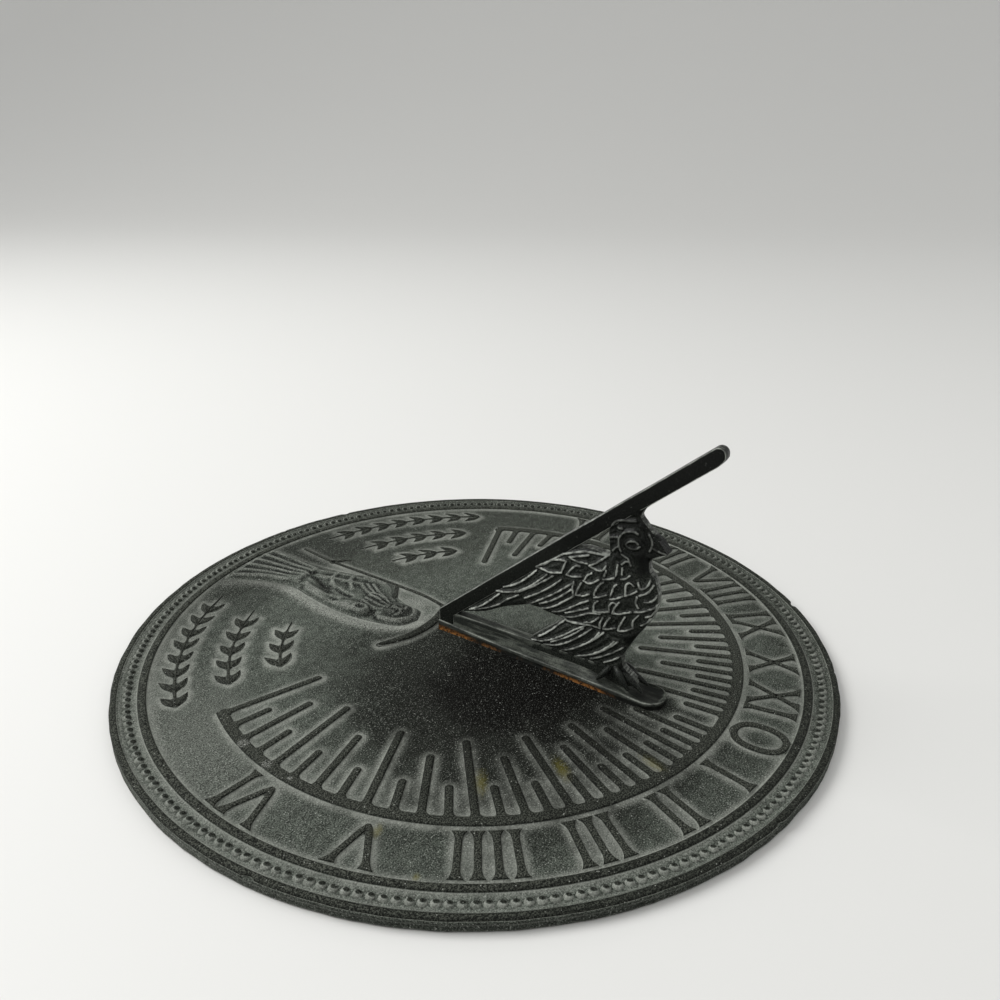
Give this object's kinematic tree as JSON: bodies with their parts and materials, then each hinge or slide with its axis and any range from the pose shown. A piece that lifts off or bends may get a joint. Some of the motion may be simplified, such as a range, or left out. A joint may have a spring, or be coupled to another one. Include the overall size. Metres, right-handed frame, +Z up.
{
  "type": "sundial",
  "caption": "Round cast garden sundial: a dial plate with raised numerals, hour marks and a beaded rim, and a slanting gnomon held up by a perched bird.",
  "frame": {"origin": "centre of the plate's underside, on the surface that the plate rests on", "axes": "+Z up, +Y toward noon on the hour scale, +X toward the afternoon hours"},
  "size_m": [0.254, 0.254, 0.0958],
  "materials": {
    "plate_iron": "satin, darkened, worn and speckled",
    "gnomon_iron": "satin, near black",
    "screw_steel": "plain"
  },
  "bodies": {
    "root": {"dial_plate": "plate_iron", "gnomon": "gnomon_iron", "fixing_screws": "screw_steel"}
  },
  "joints": []
}
